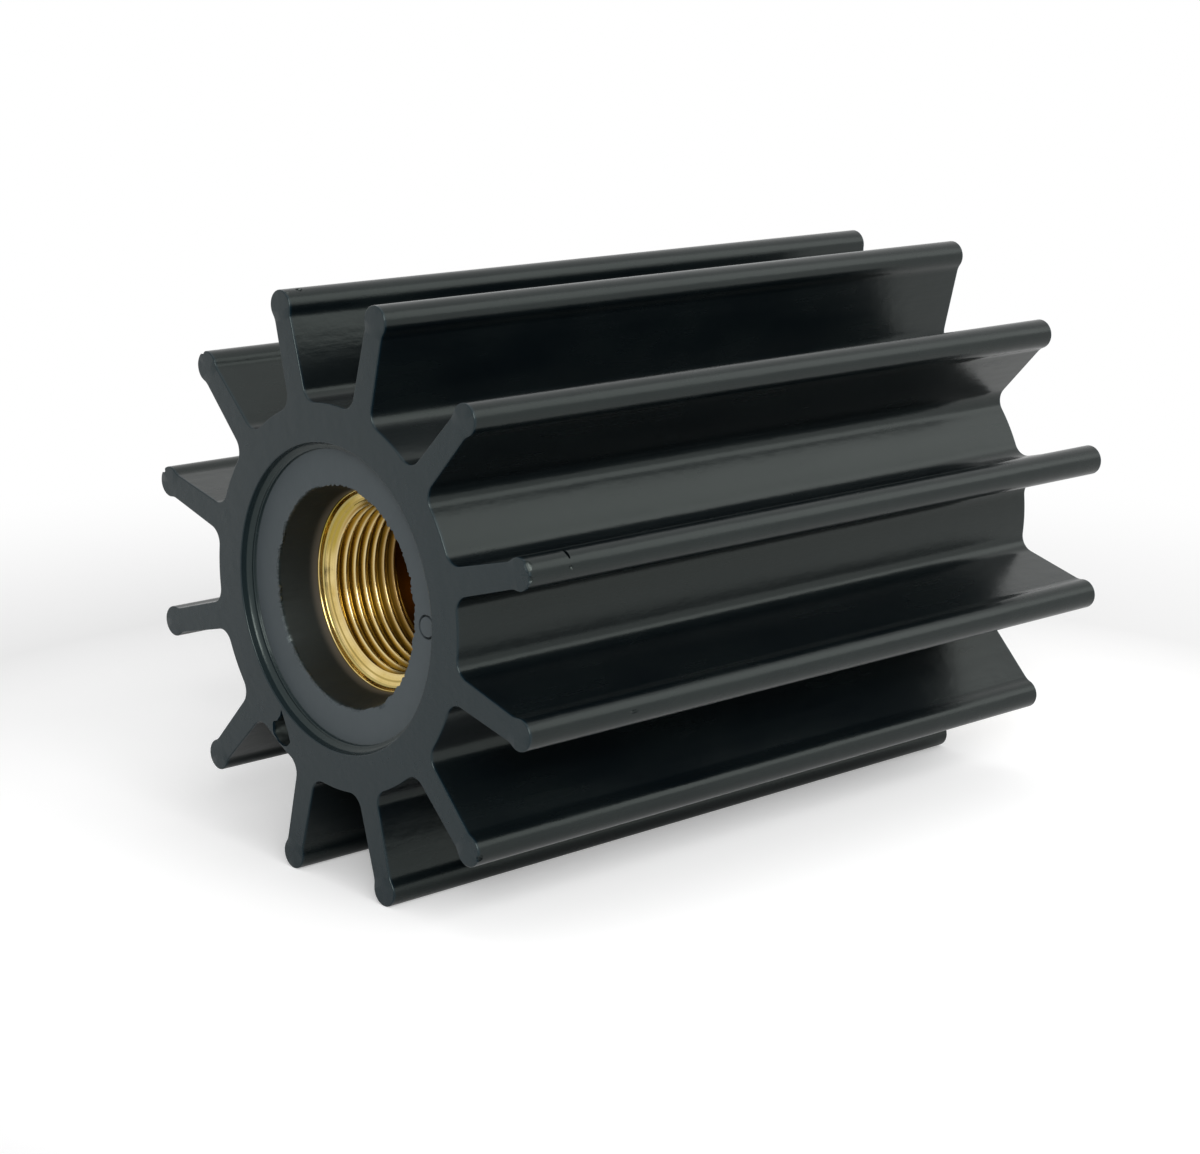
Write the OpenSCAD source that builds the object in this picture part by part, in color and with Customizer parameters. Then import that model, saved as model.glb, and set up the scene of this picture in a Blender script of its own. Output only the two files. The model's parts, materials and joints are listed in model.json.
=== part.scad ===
// Flexible pump impeller: a moulded rubber hub with bead-tipped vanes, bonded
// round a turned brass bush with a puller thread at the front and a keyed
// shaft bore at the back.
//
// The origin is the middle of the impeller. Its axis runs along Y, with the
// threaded front face towards -Y. It lies on two vane tips, and +Z is up.

/* [Vanes] */
// Number of vanes round the hub
vane_count = 12; // [9:1:14]
// Diameter over the vane tips
tip_d = 100; // [92:1:112]
// Length between the two end faces
body_l = 134; // [110:1:160]
// Thickness of a vane at its tip bead
vane_t = 4.1; // [3.2:0.1:4.8]
// Lean of each flank, so that a vane thickens towards the hub
vane_draft = 1.2; // [0:0.1:2]
// Diameter of the round bead along each tip
bead_d = 5.2; // [5:0.1:6]
// Radius of the hollow that leads each flank into its bead
bead_blend_r = 3; // [2:0.5:5]
// Diameter of the hub at the floor of the gaps
root_d = 63.2; // [58:0.2:68]
// Radius in the corner between a flank and the hub
root_fillet_r = 2.8; // [1.6:0.1:3.4]

/* [End recesses] */
// Diameter of the shallow recess in each end face
recess_d = 50.5; // [47:0.5:54]
// Depth of the upright wall round the recess
wall_depth = 1.2; // [0.6:0.1:1.4]
// Width of the slope from the foot of that wall down to the ledge
slope_w = 0.6; // [0.3:0.1:1.2]
// Width of the flat on the ledge
ledge_w = 0.5; // [0.3:0.1:1]
// Height of the ledge above the recess floor
ledge_h = 0.5; // [0.3:0.1:0.6]
// Width of the slanted step from the ledge down to the floor
step_w = 0.1; // [0.06:0.02:0.5]
// Depth of the recess floor below the end face
floor_depth = 2.3; // [2.1:0.1:4]

/* [Front well] */
// Diameter of the well where it leaves the recess floor
well_d = 36.6; // [35:0.2:40]
// Depth of the lip at the bottom of the well, below the end face
lip_depth = 8; // [6:0.5:9]
// Rubber that the lip keeps between the well wall and the brass
lip_w = 0.2; // [0.1:0.1:0.6]
// Depth of the bush below the front end face
bush_depth = 9.5; // [9.2:0.1:14]
// Diameter of the brass that shows at the bottom of the well
mouth_d = 33.6; // [32:0.2:35]

/* [Bush] */
// Outside diameter of the bush
bush_d = 40; // [38:0.5:44]
// Number of flutes that lock the rubber against turning
flute_count = 8; // [4:1:12]
// Diameter of the cutter that makes a flute
flute_d = 4; // [2:0.5:5]
// Length of the plain collar at each end of the bush
collar_l = 8; // [5:0.5:15]
// Width of the groove that locks the rubber against sliding
groove_w = 6; // [3:0.5:10]
// Depth of that groove
groove_depth = 1; // [0.5:0.1:2]

/* [Puller thread] */
// Bore of the thread, which is M30 x 2
thread_bore_d = 27.8; // [26:0.1:29]
// Width of the flat brass rim round the mouth
rim_w = 0.3; // [0.1:0.1:0.8]
// Depth of the steep wall inside that rim
mouth_wall_depth = 0.85; // [0.3:0.05:0.9]
// How far that wall leans in over its depth
mouth_wall_lean = 0.2; // [0:0.05:0.4]
// Depth at which the countersink below the wall meets the thread
countersink_depth = 1.7; // [1:0.1:3]
// Depth of the thread below the face of the bush
thread_depth = 15; // [10:0.5:25]
// Diameter of the relief behind the thread
relief_d = 30.6; // [30.2:0.1:32]
// Length of that relief
relief_l = 4; // [2:0.5:8]

/* [Shaft bore] */
// Bore for the pump shaft
shaft_d = 22; // [18:0.5:24]
// Width of the keyway
key_w = 6; // [4:0.5:8]
// Depth of the keyway beyond the bore
key_depth = 2.8; // [1.5:0.1:3]
// Chamfer at the back mouth of the bore
shaft_chamfer = 1; // [0.5:0.1:2]

/* [Hidden] */
$fn = 96;
vane_pitch = 360 / vane_count;
// The gap between two vanes points straight down, so the impeller rests on both
rest_turn = -90 + vane_pitch / 2;

root_r = root_d / 2;
bead_r = bead_d / 2;
bead_centre = tip_d / 2 - bead_r;

// Heights along the axis, which stands upright until lay_down() turns it:
// +Z of this upright frame is the threaded front
front_z = body_l / 2;
back_z = -body_l / 2;
bush_front_z = front_z - bush_depth;
bush_back_z = back_z + floor_depth;
bush_middle_z = (bush_front_z + bush_back_z) / 2;
thread_end_z = bush_front_z - thread_depth;
relief_end_z = thread_end_z - relief_l;
// Overshoot of every cutter past the face that it opens
over = 1;
// Overlap of the two sides of a vane past its middle line
past_middle = vane_t / 4;

// The flank is a straight line in a frame turned by its own draft. There it
// lies at flank_x, and the centre of the bead at [bead_x, bead_y].
bead_x = bead_centre * sin(vane_draft);
bead_y = bead_centre * cos(vane_draft);
flank_x = bead_x + vane_t / 2;

// A hollow of radius bead_blend_r touches the flank from outside and the bead
blend_x = flank_x + bead_blend_r;
blend_y = bead_y - sqrt(max(0, pow(bead_r + bead_blend_r, 2) - pow(blend_x - bead_x, 2)));

// A hollow of radius root_fillet_r touches the flank from outside. It dips a
// hair into the hub, so that its arc crosses the hub's instead of grazing it.
fillet_dip = 0.01;
fillet_x = flank_x + root_fillet_r;
fillet_y = sqrt(pow(root_r + root_fillet_r - fillet_dip, 2) - pow(fillet_x, 2));

// Turns an upright shape so that its +Z end faces the front of the impeller
module lay_down() {
    rotate([90, 0, 0]) children();
}

// Revolves a half section, given as points of radius and height
module turned(points) {
    rotate_extrude() polygon(points);
}

// One side of a vane, pointing along +Y: from a little past the middle line to
// the flank, with the fillet below and the blend above. The line between the
// hub's centre and the fillet's passes through the point where they touch.
module vane_side() {
    rotate(vane_draft) difference() {
        polygon([
            [-past_middle, 0],
            [0, 0],
            [fillet_x, fillet_y],
            [flank_x, fillet_y],
            [flank_x, blend_y],
            [blend_x, blend_y],
            [bead_x, bead_y],
            [bead_x - past_middle, bead_y]
        ]);
        translate([fillet_x, fillet_y]) circle(root_fillet_r);
        translate([blend_x, blend_y]) circle(bead_blend_r);
    }
}

// Outline of one vane, pointing along +Y, with its bead
module vane_outline() {
    vane_side();
    mirror([1, 0]) vane_side();
    translate([0, bead_centre]) circle(bead_r);
}

// Cross-section of the hub with its vanes
module body_outline() {
    circle(root_r);
    for (i = [0 : vane_count - 1])
        rotate(rest_turn + i * vane_pitch - 90) vane_outline();
}

// Shallow recess with a ledge, cut down from a face at height 0
module end_recess() {
    wall_r = recess_d / 2;
    ledge_r = wall_r - slope_w;
    step_r = ledge_r - ledge_w;
    ledge_z = ledge_h - floor_depth;
    turned([
        [0, over],
        [wall_r, over],
        [wall_r, -wall_depth],
        [ledge_r, ledge_z],
        [step_r, ledge_z],
        [step_r - step_w, -floor_depth],
        [0, -floor_depth]
    ]);
}

// Round well from the front recess down to the bush
module front_well() {
    turned([
        [0, 1 - floor_depth],
        [well_d / 2, 1 - floor_depth],
        [well_d / 2, -floor_depth],
        [mouth_d / 2 + lip_w, -lip_depth],
        [mouth_d / 2, -bush_depth],
        [0, -bush_depth]
    ]);
}

// Outside of the bush, with the groove and flutes that hold the rubber
module bush_blank() {
    difference() {
        translate([0, 0, bush_back_z])
            cylinder(d = bush_d, h = bush_front_z - bush_back_z);
        translate([0, 0, bush_middle_z]) difference() {
            cylinder(d = bush_d + 2 * over, h = groove_w, center = true);
            cylinder(d = bush_d - 2 * groove_depth, h = groove_w + 2 * over, center = true);
        }
        for (i = [0 : flute_count - 1])
            rotate(i * 360 / flute_count)
                translate([bush_d / 2, 0, bush_back_z + collar_l])
                    cylinder(d = flute_d, h = bush_front_z - bush_back_z - 2 * collar_l);
    }
}

// Bore of the bush: mouth, countersink, thread, relief, keyed shaft bore, chamfer
module bush_bore() {
    mouth_r = mouth_d / 2 - rim_w;
    thread_r = thread_bore_d / 2;
    shaft_r = shaft_d / 2;
    turned([
        [0, bush_front_z + over],
        [mouth_r, bush_front_z + over],
        [mouth_r, bush_front_z],
        [mouth_r - mouth_wall_lean, bush_front_z - mouth_wall_depth],
        [thread_r, bush_front_z - countersink_depth],
        [thread_r, thread_end_z],
        [relief_d / 2, thread_end_z],
        [relief_d / 2, relief_end_z],
        [shaft_r, relief_end_z],
        [shaft_r, bush_back_z + shaft_chamfer],
        [shaft_r + shaft_chamfer, bush_back_z],
        [shaft_r + shaft_chamfer, bush_back_z - over],
        [0, bush_back_z - over]
    ]);
    translate([0, -key_w / 2, bush_back_z - over])
        cube([shaft_r + key_depth, key_w, relief_end_z - bush_back_z + 2 * over]);
}

// Rubber hub and vanes, moulded in one piece round the bush
module vane_body() {
    color("#3f4648") lay_down() difference() {
        translate([0, 0, back_z]) linear_extrude(body_l) body_outline();
        translate([0, 0, front_z]) end_recess();
        translate([0, 0, back_z]) mirror([0, 0, 1]) end_recess();
        translate([0, 0, front_z]) front_well();
        bush_blank();
    }
}

// Brass bush, turned from bar
module brass_bush() {
    color("#b8974a") lay_down() difference() {
        bush_blank();
        bush_bore();
    }
}

vane_body();
brass_bush();
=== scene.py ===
# %% [markdown]
# # A pump impeller: a rubber hub with twelve vanes on a brass bush
#
# The impeller of a flexible-vane pump is two pieces. The black one is rubber,
# moulded round the second, a brass bush turned from bar. This lesson dresses
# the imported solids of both. It keeps every size, and adds what a solid leaves
# out: rounded edges, a real screw thread, moulding marks and the finish.

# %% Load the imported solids
import json
import math

import bmesh
import bpy
from mathutils import Matrix, Vector, noise


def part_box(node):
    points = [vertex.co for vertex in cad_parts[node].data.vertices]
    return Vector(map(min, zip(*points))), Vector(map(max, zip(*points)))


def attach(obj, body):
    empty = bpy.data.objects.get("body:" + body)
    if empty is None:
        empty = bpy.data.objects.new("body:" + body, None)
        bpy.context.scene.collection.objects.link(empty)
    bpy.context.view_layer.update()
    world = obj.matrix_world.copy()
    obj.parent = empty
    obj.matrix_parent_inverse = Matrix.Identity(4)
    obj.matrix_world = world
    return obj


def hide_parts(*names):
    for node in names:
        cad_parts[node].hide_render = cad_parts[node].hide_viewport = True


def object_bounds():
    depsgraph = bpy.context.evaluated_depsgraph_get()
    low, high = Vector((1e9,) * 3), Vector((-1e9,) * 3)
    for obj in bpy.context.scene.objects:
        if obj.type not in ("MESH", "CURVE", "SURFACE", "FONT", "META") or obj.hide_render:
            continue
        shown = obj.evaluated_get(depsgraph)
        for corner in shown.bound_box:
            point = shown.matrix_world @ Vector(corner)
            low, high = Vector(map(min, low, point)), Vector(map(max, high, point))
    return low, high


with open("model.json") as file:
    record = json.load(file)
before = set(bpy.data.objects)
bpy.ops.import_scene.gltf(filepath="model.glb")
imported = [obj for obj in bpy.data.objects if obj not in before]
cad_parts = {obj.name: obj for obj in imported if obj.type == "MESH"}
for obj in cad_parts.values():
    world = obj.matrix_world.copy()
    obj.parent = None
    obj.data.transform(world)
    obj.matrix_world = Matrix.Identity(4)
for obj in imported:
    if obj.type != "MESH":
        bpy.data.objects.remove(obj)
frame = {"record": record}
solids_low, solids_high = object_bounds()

MM = 0.001
for end, corner in (("lowest", solids_low), ("highest", solids_high)):
    print(end, "corner of the solids, in mm:", [round(v / MM, 1) for v in corner])

# %% [markdown]
# ## The camera
#
# A photograph can be matched only from the place where it was taken. The
# camera stands 48 degrees round from the front face and 13 degrees above it,
# a little under half a metre away. Its shift stays at zero, so a small move
# of the camera itself, sideways and down, sets the framing.

# %% Place the camera
AZIMUTH = math.radians(47.862)
ELEVATION = math.radians(13.425)
ROLL = math.radians(0.147)
DISTANCE = 0.47726
OBJECT_RIGHT = 0.00696
OBJECT_UP = 0.00668
LENS_MM = 81.564
SENSOR_MM = 36.0
NEAREST = 0.01


def camera_axes():
    """Right, up and back of a camera that looks at the origin, rolled a little."""
    back = Vector((
        math.sin(AZIMUTH) * math.cos(ELEVATION),
        -math.cos(AZIMUTH) * math.cos(ELEVATION),
        math.sin(ELEVATION),
    ))
    right = Vector((math.cos(AZIMUTH), math.sin(AZIMUTH), 0.0))
    up = back.cross(right)
    rolled_right = right * math.cos(ROLL) + up * math.sin(ROLL)
    rolled_up = up * math.cos(ROLL) - right * math.sin(ROLL)
    return rolled_right, rolled_up, back


def make_camera():
    """Adds the camera, with the object a little right of and above its centre line."""
    right, up, back = camera_axes()
    data = bpy.data.cameras.new("camera")
    data.lens = LENS_MM
    data.sensor_width = SENSOR_MM
    data.clip_start = NEAREST
    camera = bpy.data.objects.new("camera", data)
    place = back * DISTANCE - right * OBJECT_RIGHT - up * OBJECT_UP
    turn = Matrix((right, up, back)).transposed().to_4x4()
    camera.matrix_world = Matrix.Translation(place) @ turn
    bpy.context.scene.collection.objects.link(camera)
    bpy.context.scene.camera = camera
    return camera


camera = make_camera()
print("camera at", [round(v, 3) for v in camera.matrix_world.translation])

# %% [markdown]
# ## Sizes
#
# The overall sizes come from the frame, and the bores from its mounts. The
# rest repeats the sizes of the solids, in millimetres, because a mesh that
# stands for a solid has to keep its form.

# %% Sizes from the frame
vane_low, vane_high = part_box("vane_body")
bush_low, bush_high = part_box("brass_bush")
mounts = {m["name"]: m for m in frame["record"]["mounts"]}

FRONT = vane_low.y
BACK = vane_high.y
BUSH_FRONT = bush_low.y
BUSH_BACK = bush_high.y
BUSH_R = bush_high.x
SHAFT_R = mounts["shaft_bore"]["dims"]["r_mm"] * MM
THREAD_R = mounts["puller_thread"]["dims"]["r_mm"] * MM
print("length", round((BACK - FRONT) / MM, 2), "mm, shaft bore", round(2 * SHAFT_R / MM, 2), "mm")

# %% Sizes of the vanes
VANES = 12
PITCH = 2 * math.pi / VANES
TIP_R = 50.0 * MM
ROOT_R = 31.6 * MM
VANE_HALF = 2.05 * MM
DRAFT = math.radians(1.2)
BEAD_R = 2.6 * MM
BLEND_R = 3.0 * MM
FILLET_R = 2.8 * MM
BEAD_CENTRE = TIP_R - BEAD_R
print(VANES, "vanes,", round(2 * TIP_R / MM), "mm over the tips, beads", round(2 * BEAD_R / MM, 1), "mm")

# %% Sizes of the end recesses and the well
RECESS_R = 25.25 * MM
WALL_DEPTH = 1.2 * MM
SLOPE_W = 0.6 * MM
LEDGE_W = 0.5 * MM
LEDGE_H = 0.5 * MM
STEP_W = 0.1 * MM
FLOOR_DEPTH = 2.3 * MM
WELL_R = 18.3 * MM
LIP_DEPTH = 8.0 * MM
LIP_W = 0.2 * MM
MOUTH_R = 16.8 * MM
GROOVE_W = 6.0 * MM
GROOVE_DEPTH = 1.0 * MM
print("recess", round(2 * RECESS_R / MM, 1), "mm wide and", round(FLOOR_DEPTH / MM, 1), "mm deep")

# %% [markdown]
# ## Helpers for meshes
#
# A bmesh is a mesh that is still being worked on. When it is done, it is
# written to a mesh and linked to the scene with the object at the origin, so
# its place is in its vertices. Edges sharper than a given angle are marked
# sharp, and the rest of the surface is shaded smooth.
#
# Most shapes here start as a section: a chain of points, drawn in the plane
# above the axis. Its corners are rounded while it is still a line, which is
# easier than finding the same edges again on the finished surface.

# %% Helpers
SHARP = math.radians(32)
WELD = 0.002 * MM


def everything(bm):
    """All vertices, edges and faces of a bmesh."""
    return bm.verts[:] + bm.edges[:] + bm.faces[:]


def only_verts(made):
    """The vertices among what an operator has made."""
    return [part for part in made if isinstance(part, bmesh.types.BMVert)]


def clean(bm, weld=WELD):
    """Merges doubles and turns every face outwards."""
    bmesh.ops.remove_doubles(bm, verts=bm.verts, dist=weld)
    bmesh.ops.recalc_face_normals(bm, faces=bm.faces)


def shade(bm):
    """Makes every face smooth, and every edge that is sharper than SHARP a sharp one."""
    for face in bm.faces:
        face.smooth = True
    for edge in bm.edges:
        edge.smooth = len(edge.link_faces) == 2 and edge.calc_face_angle() < SHARP


def add_piece(name, bm):
    """Writes a bmesh to a new object at the origin."""
    shade(bm)
    mesh = bpy.data.meshes.new(name)
    bm.to_mesh(mesh)
    bm.free()
    piece = bpy.data.objects.new(name, mesh)
    bpy.context.scene.collection.objects.link(piece)
    return piece


def open_edges(bm):
    """How many edges don't have a face on both sides."""
    return sum(1 for edge in bm.edges if len(edge.link_faces) != 2)


def polyline(bm, points):
    """Joins points of radius and depth along the axis, in the plane above it."""
    verts = [bm.verts.new((0.0, y, r)) for r, y in points]
    for a, b in zip(verts, verts[1:]):
        bm.edges.new((a, b))
    return verts


def round_corners(bm, corners, offset, segments=3):
    """Rounds corners of a section, while it is still a line."""
    bmesh.ops.bevel(
        bm, geom=corners, affect="VERTICES", offset=offset, segments=segments,
        profile=0.5, material=-1,
    )


def full_turn(bm, steps):
    """Spins everything in the bmesh once round the impeller's axis."""
    bmesh.ops.spin(
        bm, geom=bm.verts[:] + bm.edges[:], cent=(0, 0, 0), axis=(0, 1, 0),
        angle=2 * math.pi, steps=steps, use_merge=True,
    )


print("edges over", round(math.degrees(SHARP)), "degrees stay sharp")

# %% [markdown]
# ## The outline of a vane
#
# The end view of one side of a vane is four arcs and a straight flank. A
# vertex that is spun about a centre leaves an arc of edges behind it, so the
# whole outline is drawn as a draughtsman would, with a compass.
#
# The flank leans by the draft. In a frame that leans with it, the flank is
# upright, and the centre of each arc follows from the radii that it touches.

# %% Centres of the arcs


def lean(x, y):
    """A point of the leaning frame, as x and z of the section."""
    return Vector((
        x * math.cos(DRAFT) - y * math.sin(DRAFT),
        0.0,
        x * math.sin(DRAFT) + y * math.cos(DRAFT),
    ))


bead_x = BEAD_CENTRE * math.sin(DRAFT)
bead_y = BEAD_CENTRE * math.cos(DRAFT)
flank_x = bead_x + VANE_HALF
fillet_x = flank_x + FILLET_R
fillet_y = math.sqrt((ROOT_R + FILLET_R) ** 2 - fillet_x ** 2)
blend_x = flank_x + BLEND_R
blend_y = bead_y - math.sqrt((BEAD_R + BLEND_R) ** 2 - (blend_x - bead_x) ** 2)

fillet_centre = lean(fillet_x, fillet_y)
blend_centre = lean(blend_x, blend_y)
bead_centre = Vector((0.0, 0.0, BEAD_CENTRE))
flank_foot = lean(flank_x, fillet_y)
flank_top = lean(flank_x, blend_y)
root_touch = fillet_centre.normalized() * ROOT_R
bead_touch = bead_centre + (blend_centre - bead_centre).normalized() * BEAD_R
print("flank from", round(flank_foot.z / MM, 2), "to", round(flank_top.z / MM, 2), "mm from the axis")

# %% [markdown]
# Each arc is traced by one spin. The end face of the side is then filled by
# bridging the outline to a second chain, with as many edges, that runs round
# the hub and up the middle of the vane. Each stretch of the second chain ends
# level with the outline's, so that no quad leans over its neighbour.

# %% Trace the outline and fill the end face
ROOT_STEPS = 10
FILLET_STEPS = 10
FLANK_STEPS = 6
BLEND_STEPS = 6
BEAD_STEPS = 14
HUB_RING_R = 27.5 * MM
HUB_STEPS = ROOT_STEPS + FILLET_STEPS
AROUND = 2 * VANES * HUB_STEPS


def clock(point, centre):
    """Clockwise angle of a point about a centre, seen from the front, from +Z."""
    out = point - centre
    return math.atan2(out.x, out.z)


def trace_arc(bm, vert, centre, to, steps):
    """Spins a vertex about a centre until it lies at a point, and returns the last vertex."""
    sweep = clock(to, centre) - clock(vert.co, centre)
    sweep = (sweep + math.pi) % (2 * math.pi) - math.pi
    made = bmesh.ops.spin(bm, geom=[vert], cent=centre, axis=(0, 1, 0), angle=sweep, steps=steps)
    return made["geom_last"][0]


def trace_line(bm, vert, to, steps):
    """Draws a straight run of edges to a point, and returns the last vertex."""
    step = (to - vert.co) / steps
    for _ in range(steps):
        made = bmesh.ops.extrude_vert_indiv(bm, verts=[vert])
        vert = made["verts"][0]
        vert.co += step
    return vert


def side_of_vane():
    """The end face of one side of a vane, from the middle of the gap to the vane's middle."""
    bm = bmesh.new()
    gap_way = Vector((math.sin(PITCH / 2), 0.0, math.cos(PITCH / 2)))
    origin = Vector((0.0, 0.0, 0.0))

    outer = bm.verts.new(gap_way * ROOT_R)
    last = trace_arc(bm, outer, origin, root_touch, ROOT_STEPS)
    last = trace_arc(bm, last, fillet_centre, flank_foot, FILLET_STEPS)
    last = trace_line(bm, last, flank_top, FLANK_STEPS)
    last = trace_arc(bm, last, blend_centre, bead_touch, BLEND_STEPS)
    trace_arc(bm, last, bead_centre, bead_centre + Vector((0, 0, BEAD_R)), BEAD_STEPS)

    inner = bm.verts.new(gap_way * HUB_RING_R)
    last = trace_arc(bm, inner, origin, Vector((0, 0, HUB_RING_R)), HUB_STEPS)
    last = trace_line(bm, last, Vector((0, 0, flank_top.z)), FLANK_STEPS)
    last = trace_line(bm, last, Vector((0, 0, bead_touch.z)), BLEND_STEPS)
    trace_line(bm, last, bead_centre, BEAD_STEPS)

    bmesh.ops.bridge_loops(bm, edges=bm.edges[:])
    return bm


side = side_of_vane()
print("one side of a vane:", len(side.verts), "vertices and", len(side.faces), "faces")

# %% [markdown]
# ## The rubber hub and vanes
#
# The rubber comes out of its mould in one piece, so it is one mesh here too.
# One side is mirrored to a whole vane, the vane is spun to twelve, and the
# outline is drawn out along the axis. Twelve copies of a good section are
# better than a boolean of twelve plates, because every quad stays in line.

# %% Twelve vanes, drawn out along the axis
LENGTH_STEPS = 24


def radius(vert):
    """Distance of a vertex from the impeller's axis."""
    return math.hypot(vert.co.x, vert.co.z)


def ring_of_vanes(bm):
    """Makes the whole end face out of one side of a vane, at the front."""
    bmesh.ops.mirror(bm, geom=everything(bm), matrix=Matrix.Identity(4), merge_dist=WELD, axis="X")
    bmesh.ops.spin(
        bm, geom=everything(bm), cent=(0, 0, 0), axis=(0, 1, 0),
        angle=PITCH * (VANES - 1), steps=VANES - 1, use_duplicate=True,
    )
    bmesh.ops.remove_doubles(bm, verts=bm.verts, dist=WELD)
    half_pitch = Matrix.Rotation(PITCH / 2, 3, "Y")
    bmesh.ops.rotate(bm, cent=(0, 0, 0), matrix=half_pitch, verts=bm.verts)
    bmesh.ops.translate(bm, vec=(0, FRONT, 0), verts=bm.verts)


def draw_out(bm):
    """Extrudes the outline of the vanes to the back, and closes it with a second end face."""
    front_faces = bm.faces[:]
    between = (HUB_RING_R + ROOT_R) / 2
    ring = [e for e in bm.edges if e.is_boundary and radius(e.verts[0]) > between]
    step = Vector((0, (BACK - FRONT) / LENGTH_STEPS, 0))
    for _ in range(LENGTH_STEPS):
        made = bmesh.ops.extrude_edge_only(bm, edges=ring)["geom"]
        verts = only_verts(made)
        bmesh.ops.translate(bm, vec=step, verts=verts)
        moved = set(verts)
        ring = [e for e in made if isinstance(e, bmesh.types.BMEdge) and set(e.verts) <= moved]
    made = bmesh.ops.duplicate(bm, geom=front_faces)["geom"]
    bmesh.ops.translate(bm, vec=(0, BACK - FRONT, 0), verts=only_verts(made))
    bmesh.ops.remove_doubles(bm, verts=bm.verts, dist=WELD)


ring_of_vanes(side)
draw_out(side)
print("vanes and end faces:", len(side.faces), "faces,", open_edges(side), "open edges round the hub")

# %% [markdown]
# At each end the hub has a shallow recess, and the front one leads down a
# well to the brass. The recesses, the well and the seat of the bush are all
# round, so one section, spun once about the axis, makes them. It starts and
# ends on the hub rings of the two end faces, with a step for each of their
# vertices, and the seams close by merging.

# %% Section of the hub, from the front ring to the back ring
CORNER_R = 0.2 * MM
STEP_CORNER_R = 0.08 * MM
RIM_BAND = 0.7 * MM
# How far the well's wall has leaned in, and how far down, both in parts of RIM_BAND
WELL_LEAN = ((0.0, 0.0), (0.11, 0.5), (0.28, 1.2))


def end_recess_points(face, inward):
    """The recess of one end, from the hub ring down to the floor. inward is +1 at the front."""
    slope_end = RECESS_R - SLOPE_W
    step = slope_end - LEDGE_W
    return [
        (HUB_RING_R, face),
        (RECESS_R, face),
        (RECESS_R, face + inward * WALL_DEPTH),
        (slope_end, face + inward * (FLOOR_DEPTH - LEDGE_H)),
        (step, face + inward * (FLOOR_DEPTH - LEDGE_H)),
        (step - STEP_W, face + inward * FLOOR_DEPTH),
    ]


def hub_section_points():
    """Radius and place along the axis of every corner of the hub's section."""
    floor = FRONT + FLOOR_DEPTH
    middle = (BUSH_FRONT + BUSH_BACK) / 2
    groove_r = BUSH_R - GROOVE_DEPTH
    points = end_recess_points(FRONT, 1)
    points.append((WELL_R + RIM_BAND, floor))
    points += [(WELL_R - lean_in * RIM_BAND, floor + down * RIM_BAND) for lean_in, down in WELL_LEAN]
    points += [
        (MOUTH_R + LIP_W, FRONT + LIP_DEPTH),
        (MOUTH_R, BUSH_FRONT),
        (BUSH_R, BUSH_FRONT),
        (BUSH_R, middle - GROOVE_W / 2),
        (groove_r, middle - GROOVE_W / 2),
        (groove_r, middle + GROOVE_W / 2),
        (BUSH_R, middle + GROOVE_W / 2),
        (BUSH_R, BUSH_BACK),
    ]
    return points + end_recess_points(BACK, -1)[::-1]


def hub_surface():
    """The round inside of the hub."""
    bm = bmesh.new()
    verts = polyline(bm, hub_section_points())
    round_corners(bm, verts[1:4] + verts[-4:-1], CORNER_R)
    round_corners(bm, verts[4:6] + verts[-6:-4], STEP_CORNER_R)
    full_turn(bm, AROUND)
    return bm


hub = hub_surface()
print("hub:", len(hub.faces), "faces")

# %% [markdown]
# The rim of the well was cut by hand after moulding, so it isn't round. A
# texture could only darken it, so its vertices are moved: by a little noise,
# and by a few larger nicks. Each nick has a clock angle and a width, both in
# degrees, and a shift outwards and one forwards, both in millimetres.

# %% Make the rim of the well ragged
RAGGED = 0.5 * MM
RIM_REACH = 0.7 * MM
OUT_WAVES = ((0.4, 7.0), (0.4, 23.0), (0.7, 60.0))
LIFT_WAVES = ((1.0, 13.0), (0.6, 47.0))
LIFT_SHARE = 0.4
RIM_NICKS = (
    (148, 4.0, 0.45, 0.30),
    (170, 4.0, 0.35, 0.05),
    (189, 5.0, 0.45, 0.00),
    (214, 3.0, -0.35, 0.00),
    (229, 2.5, -0.30, 0.05),
    (237, 3.0, 0.45, 0.00),
    (259, 1.8, -0.45, 0.10),
    (264, 1.6, -1.00, 0.12),
    (292, 5.0, -0.70, 0.00),
    (308, 6.0, -0.25, 0.00),
    (347, 8.0, -0.30, 0.05),
)


def waves(spot, parts):
    """A sum of noises, each with a strength and a fineness."""
    return sum(strength * noise.noise(spot * fineness) for strength, fineness in parts)


def rim_shift(turn):
    """How far the rim moves outwards and forwards at a clock angle, in metres."""
    spot = Vector((math.sin(turn), math.cos(turn), 0.0))
    outward = RAGGED * waves(spot, OUT_WAVES)
    forward = LIFT_SHARE * RAGGED * waves(spot, LIFT_WAVES)
    for at, width, out, lift in RIM_NICKS:
        away = (math.degrees(turn) - at + 180) % 360 - 180
        share = math.exp(-((away / width) ** 2))
        outward += share * out * MM
        forward += share * lift * MM
    return outward, forward


def cut_rim(bm):
    """Moves the vertices near the rim of the well, those on the rim the most."""
    rim_y = FRONT + FLOOR_DEPTH
    moved = 0
    for vert in bm.verts:
        r = radius(vert)
        off = math.hypot(r - WELL_R, vert.co.y - rim_y)
        if off > RIM_REACH:
            continue
        outward, forward = rim_shift(math.atan2(vert.co.x, vert.co.z))
        share = 1 - off / RIM_REACH
        vert.co.x *= 1 + share * outward / r
        vert.co.z *= 1 + share * outward / r
        vert.co.y -= share * forward
        moved += 1
    return moved


print("rim vertices moved:", cut_rim(hub))

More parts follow.
